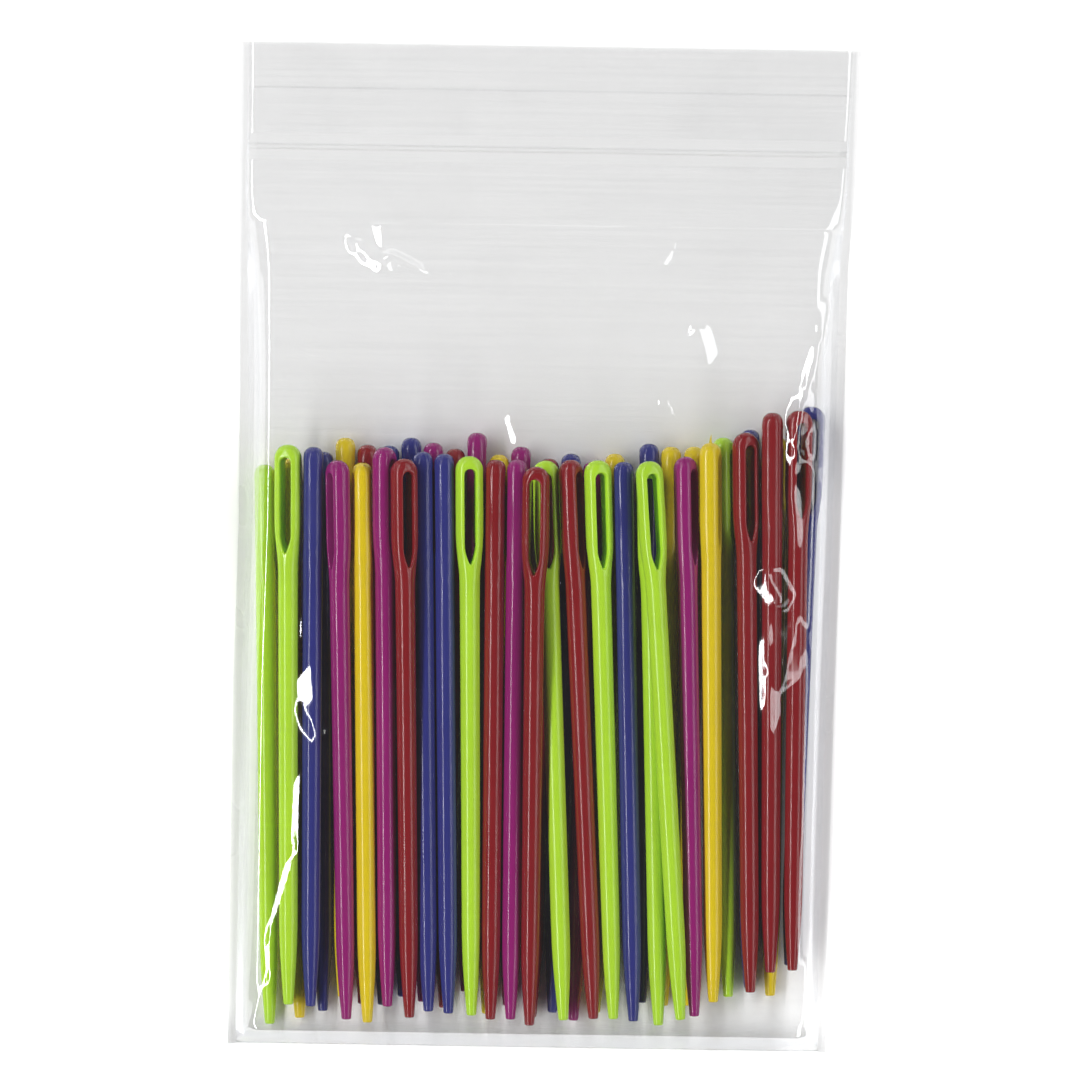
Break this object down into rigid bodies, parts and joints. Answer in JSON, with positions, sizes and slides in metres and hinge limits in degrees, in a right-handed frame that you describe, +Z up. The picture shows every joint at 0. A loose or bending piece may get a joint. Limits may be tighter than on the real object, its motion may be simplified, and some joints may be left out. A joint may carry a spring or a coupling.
{
  "type": "yarn needle set",
  "caption": "Blunt plastic yarn needles with long slotted eyes in five colours, lying loose in a clear resealable zip bag.",
  "frame": {"origin": "middle of the bag's outline, on the surface that it lies on", "axes": "+X across the bag, +Y from the bottom fold to the zip, +Z up from the surface through both films"},
  "size_m": [0.0778, 0.1256, 0.0112],
  "materials": {
    "clear_film": "thin clear film, wrinkled and glossy",
    "green_plastic": "smooth glossy moulded plastic",
    "blue_plastic": "smooth glossy moulded plastic",
    "purple_plastic": "smooth glossy moulded plastic",
    "yellow_plastic": "smooth glossy moulded plastic",
    "red_plastic": "smooth glossy moulded plastic"
  },
  "bodies": {
    "bag": {"back_film": "clear_film", "front_film": "clear_film", "bottom_fold": "clear_film", "side_seal_left": "clear_film", "side_seal_right": "clear_film", "zip_rib": "clear_film"},
    "mouth": {"front_lip": "clear_film", "zip_groove": "clear_film", "grip_rib": "clear_film"},
    "needle_01_yellow": {"needle_01_yellow": "yellow_plastic"},
    "needle_02_blue": {"needle_02_blue": "blue_plastic"},
    "needle_03_yellow": {"needle_03_yellow": "yellow_plastic"},
    "needle_04_red": {"needle_04_red": "red_plastic"},
    "needle_05_blue": {"needle_05_blue": "blue_plastic"},
    "needle_06_blue": {"needle_06_blue": "blue_plastic"},
    "needle_07_purple": {"needle_07_purple": "purple_plastic"},
    "needle_08_red": {"needle_08_red": "red_plastic"},
    "needle_09_purple": {"needle_09_purple": "purple_plastic"},
    "needle_10_yellow": {"needle_10_yellow": "yellow_plastic"},
    "needle_11_purple": {"needle_11_purple": "purple_plastic"},
    "needle_12_red": {"needle_12_red": "red_plastic"},
    "needle_13_blue": {"needle_13_blue": "blue_plastic"},
    "needle_14_purple": {"needle_14_purple": "purple_plastic"},
    "needle_15_yellow": {"needle_15_yellow": "yellow_plastic"},
    "needle_16_blue": {"needle_16_blue": "blue_plastic"},
    "needle_17_yellow": {"needle_17_yellow": "yellow_plastic"},
    "needle_18_yellow": {"needle_18_yellow": "yellow_plastic"},
    "needle_19_green": {"needle_19_green": "green_plastic"},
    "needle_20_blue": {"needle_20_blue": "blue_plastic"},
    "needle_21_yellow": {"needle_21_yellow": "yellow_plastic"},
    "needle_22_blue": {"needle_22_blue": "blue_plastic"},
    "needle_23_green": {"needle_23_green": "green_plastic"},
    "needle_24_blue": {"needle_24_blue": "blue_plastic"},
    "needle_25_green": {"needle_25_green": "green_plastic"},
    "needle_26_purple": {"needle_26_purple": "purple_plastic"},
    "needle_27_yellow": {"needle_27_yellow": "yellow_plastic"},
    "needle_28_purple": {"needle_28_purple": "purple_plastic"},
    "needle_29_blue": {"needle_29_blue": "blue_plastic"},
    "needle_30_blue": {"needle_30_blue": "blue_plastic"},
    "needle_31_green": {"needle_31_green": "green_plastic"},
    "needle_32_red": {"needle_32_red": "red_plastic"},
    "needle_33_purple": {"needle_33_purple": "purple_plastic"},
    "needle_34_green": {"needle_34_green": "green_plastic"},
    "needle_35_red": {"needle_35_red": "red_plastic"},
    "needle_36_green": {"needle_36_green": "green_plastic"},
    "needle_37_blue": {"needle_37_blue": "blue_plastic"},
    "needle_38_green": {"needle_38_green": "green_plastic"},
    "needle_39_purple": {"needle_39_purple": "purple_plastic"},
    "needle_40_yellow": {"needle_40_yellow": "yellow_plastic"},
    "needle_41_red": {"needle_41_red": "red_plastic"},
    "needle_42_red": {"needle_42_red": "red_plastic"},
    "needle_43_red": {"needle_43_red": "red_plastic"},
    "needle_44_red": {"needle_44_red": "red_plastic"},
    "needle_45_red": {"needle_45_red": "red_plastic"},
    "needle_46_green": {"needle_46_green": "green_plastic"}
  },
  "joints": [
    {"name": "mouth_opening", "type": "hinge", "parent": "bag", "child": "mouth", "pos_m": [0, 0.0403, 0.0027], "axis": [1, 0, 0], "range_deg": [0, 25], "deforming": ["zip_groove"]},
    {"name": "needle_01_yellow_slide", "type": "slide", "parent": "bag", "child": "needle_01_yellow", "axis": [-0.0353, 0.9993, 0.0116], "range_m": [-0.0004, 0.008]},
    {"name": "needle_02_blue_slide", "type": "slide", "parent": "bag", "child": "needle_02_blue", "axis": [-0.0139, 0.9998, 0.0116], "range_m": [-0.0004, 0.008]},
    {"name": "needle_03_yellow_slide", "type": "slide", "parent": "bag", "child": "needle_03_yellow", "axis": [-0.0104, 0.9999, 0.0116], "range_m": [-0.0004, 0.008]},
    {"name": "needle_04_red_slide", "type": "slide", "parent": "bag", "child": "needle_04_red", "axis": [-0.0068, 0.9999, 0.0116], "range_m": [-0.0004, 0.008]},
    {"name": "needle_05_blue_slide", "type": "slide", "parent": "bag", "child": "needle_05_blue", "axis": [-0.0032, 0.9999, 0.0116], "range_m": [-0.0004, 0.008]},
    {"name": "needle_06_blue_slide", "type": "slide", "parent": "bag", "child": "needle_06_blue", "axis": [0.0004, 0.9999, 0.0116], "range_m": [-0.0004, 0.008]},
    {"name": "needle_07_purple_slide", "type": "slide", "parent": "bag", "child": "needle_07_purple", "axis": [0.0039, 0.9999, 0.0116], "range_m": [-0.0004, 0.008]},
    {"name": "needle_08_red_slide", "type": "slide", "parent": "bag", "child": "needle_08_red", "axis": [0.0057, 0.9999, 0.0116], "range_m": [-0.0004, 0.008]},
    {"name": "needle_09_purple_slide", "type": "slide", "parent": "bag", "child": "needle_09_purple", "axis": [0.0057, 0.9999, 0.0116], "range_m": [-0.0004, 0.008]},
    {"name": "needle_10_yellow_slide", "type": "slide", "parent": "bag", "child": "needle_10_yellow", "axis": [0.0075, 0.9999, 0.0116], "range_m": [-0.0004, 0.008]},
    {"name": "needle_11_purple_slide", "type": "slide", "parent": "bag", "child": "needle_11_purple", "axis": [0.0093, 0.9999, 0.0116], "range_m": [-0.0004, 0.008]},
    {"name": "needle_12_red_slide", "type": "slide", "parent": "bag", "child": "needle_12_red", "axis": [0.0164, 0.9998, 0.0116], "range_m": [-0.0004, 0.008]},
    {"name": "needle_13_blue_slide", "type": "slide", "parent": "bag", "child": "needle_13_blue", "axis": [0.0182, 0.9998, 0.0116], "range_m": [-0.0004, 0.008]},
    {"name": "needle_14_purple_slide", "type": "slide", "parent": "bag", "child": "needle_14_purple", "axis": [0.02, 0.9997, 0.0116], "range_m": [-0.0004, 0.008]},
    {"name": "needle_15_yellow_slide", "type": "slide", "parent": "bag", "child": "needle_15_yellow", "axis": [0.02, 0.9997, 0.0116], "range_m": [-0.0004, 0.008]},
    {"name": "needle_16_blue_slide", "type": "slide", "parent": "bag", "child": "needle_16_blue", "axis": [-0.0014, 0.9999, 0.0116], "range_m": [-0.0004, 0.008]},
    {"name": "needle_17_yellow_slide", "type": "slide", "parent": "bag", "child": "needle_17_yellow", "axis": [-0.0014, 0.9999, 0.0116], "range_m": [-0.0004, 0.008]},
    {"name": "needle_18_yellow_slide", "type": "slide", "parent": "bag", "child": "needle_18_yellow", "axis": [-0.0032, 0.9999, 0.0116], "range_m": [-0.0004, 0.008]},
    {"name": "needle_19_green_slide", "type": "slide", "parent": "bag", "child": "needle_19_green", "axis": [-0.0246, 0.9996, 0.0119], "range_m": [-0.0004, 0.008]},
    {"name": "needle_20_blue_slide", "type": "slide", "parent": "bag", "child": "needle_20_blue", "axis": [-0.0139, 0.9998, 0.0116], "range_m": [-0.0004, 0.008]},
    {"name": "needle_21_yellow_slide", "type": "slide", "parent": "bag", "child": "needle_21_yellow", "axis": [-0.0032, 0.9999, 0.0116], "range_m": [-0.0004, 0.008]},
    {"name": "needle_22_blue_slide", "type": "slide", "parent": "bag", "child": "needle_22_blue", "axis": [0.0254, 0.9997, 0.004], "range_m": [-0.0004, 0.008]},
    {"name": "needle_23_green_slide", "type": "slide", "parent": "bag", "child": "needle_23_green", "axis": [-0.0246, 0.9996, 0.0118], "range_m": [-0.0004, 0.008]},
    {"name": "needle_24_blue_slide", "type": "slide", "parent": "bag", "child": "needle_24_blue", "axis": [-0.0094, 0.9991, 0.0407], "range_m": [-0.0004, 0.008]},
    {"name": "needle_25_green_slide", "type": "slide", "parent": "bag", "child": "needle_25_green", "axis": [-0.0157, 0.9993, 0.0335], "range_m": [-0.0004, 0.008]},
    {"name": "needle_26_purple_slide", "type": "slide", "parent": "bag", "child": "needle_26_purple", "axis": [-0.0308, 0.9979, 0.0575], "range_m": [-0.0004, 0.008]},
    {"name": "needle_27_yellow_slide", "type": "slide", "parent": "bag", "child": "needle_27_yellow", "axis": [-0.0246, 0.9991, 0.0352], "range_m": [-0.0004, 0.008]},
    {"name": "needle_28_purple_slide", "type": "slide", "parent": "bag", "child": "needle_28_purple", "axis": [-0.0201, 0.9983, 0.0551], "range_m": [-0.0004, 0.008]},
    {"name": "needle_29_blue_slide", "type": "slide", "parent": "bag", "child": "needle_29_blue", "axis": [-0.0255, 0.9991, 0.0329], "range_m": [-0.0004, 0.008]},
    {"name": "needle_30_blue_slide", "type": "slide", "parent": "bag", "child": "needle_30_blue", "axis": [-0.0228, 0.9992, 0.0318], "range_m": [-0.0004, 0.008]},
    {"name": "needle_31_green_slide", "type": "slide", "parent": "bag", "child": "needle_31_green", "axis": [-0.0193, 0.9984, 0.0534], "range_m": [-0.0004, 0.008]},
    {"name": "needle_32_red_slide", "type": "slide", "parent": "bag", "child": "needle_32_red", "axis": [-0.0059, 0.9994, 0.0344], "range_m": [-0.0004, 0.008]},
    {"name": "needle_33_purple_slide", "type": "slide", "parent": "bag", "child": "needle_33_purple", "axis": [-0.0032, 0.9994, 0.0344], "range_m": [-0.0004, 0.008]},
    {"name": "needle_34_green_slide", "type": "slide", "parent": "bag", "child": "needle_34_green", "axis": [-0.0478, 0.9985, 0.027], "range_m": [-0.0004, 0.008]},
    {"name": "needle_35_red_slide", "type": "slide", "parent": "bag", "child": "needle_35_red", "axis": [-0.0567, 0.9976, 0.0406], "range_m": [-0.0004, 0.008]},
    {"name": "needle_36_green_slide", "type": "slide", "parent": "bag", "child": "needle_36_green", "axis": [-0.0442, 0.9975, 0.0557], "range_m": [-0.0004, 0.008]},
    {"name": "needle_37_blue_slide", "type": "slide", "parent": "bag", "child": "needle_37_blue", "axis": [-0.0335, 0.9988, 0.0347], "range_m": [-0.0004, 0.008]},
    {"name": "needle_38_green_slide", "type": "slide", "parent": "bag", "child": "needle_38_green", "axis": [-0.0327, 0.9991, 0.0287], "range_m": [-0.0004, 0.008]},
    {"name": "needle_39_purple_slide", "type": "slide", "parent": "bag", "child": "needle_39_purple", "axis": [-0.0318, 0.9989, 0.0344], "range_m": [-0.0004, 0.008]},
    {"name": "needle_40_yellow_slide", "type": "slide", "parent": "bag", "child": "needle_40_yellow", "axis": [-0.021, 0.9988, 0.0434], "range_m": [-0.0004, 0.008]},
    {"name": "needle_41_red_slide", "type": "slide", "parent": "bag", "child": "needle_41_red", "axis": [-0.0246, 0.9992, 0.0319], "range_m": [-0.0004, 0.008]},
    {"name": "needle_42_red_slide", "type": "slide", "parent": "bag", "child": "needle_42_red", "axis": [-0.0121, 0.9994, 0.0339], "range_m": [-0.0004, 0.008]},
    {"name": "needle_43_red_slide", "type": "slide", "parent": "bag", "child": "needle_43_red", "axis": [-0.0032, 0.9999, 0.0149], "range_m": [-0.0004, 0.008]},
    {"name": "needle_44_red_slide", "type": "slide", "parent": "bag", "child": "needle_44_red", "axis": [-0.0246, 0.997, 0.0732], "range_m": [-0.0004, 0.008]},
    {"name": "needle_45_red_slide", "type": "slide", "parent": "bag", "child": "needle_45_red", "axis": [-0.0032, 0.9973, 0.0733], "range_m": [-0.0004, 0.008]},
    {"name": "needle_46_green_slide", "type": "slide", "parent": "bag", "child": "needle_46_green", "axis": [-0.0727, 0.9957, 0.0579], "range_m": [-0.0004, 0.008]}
  ]
}
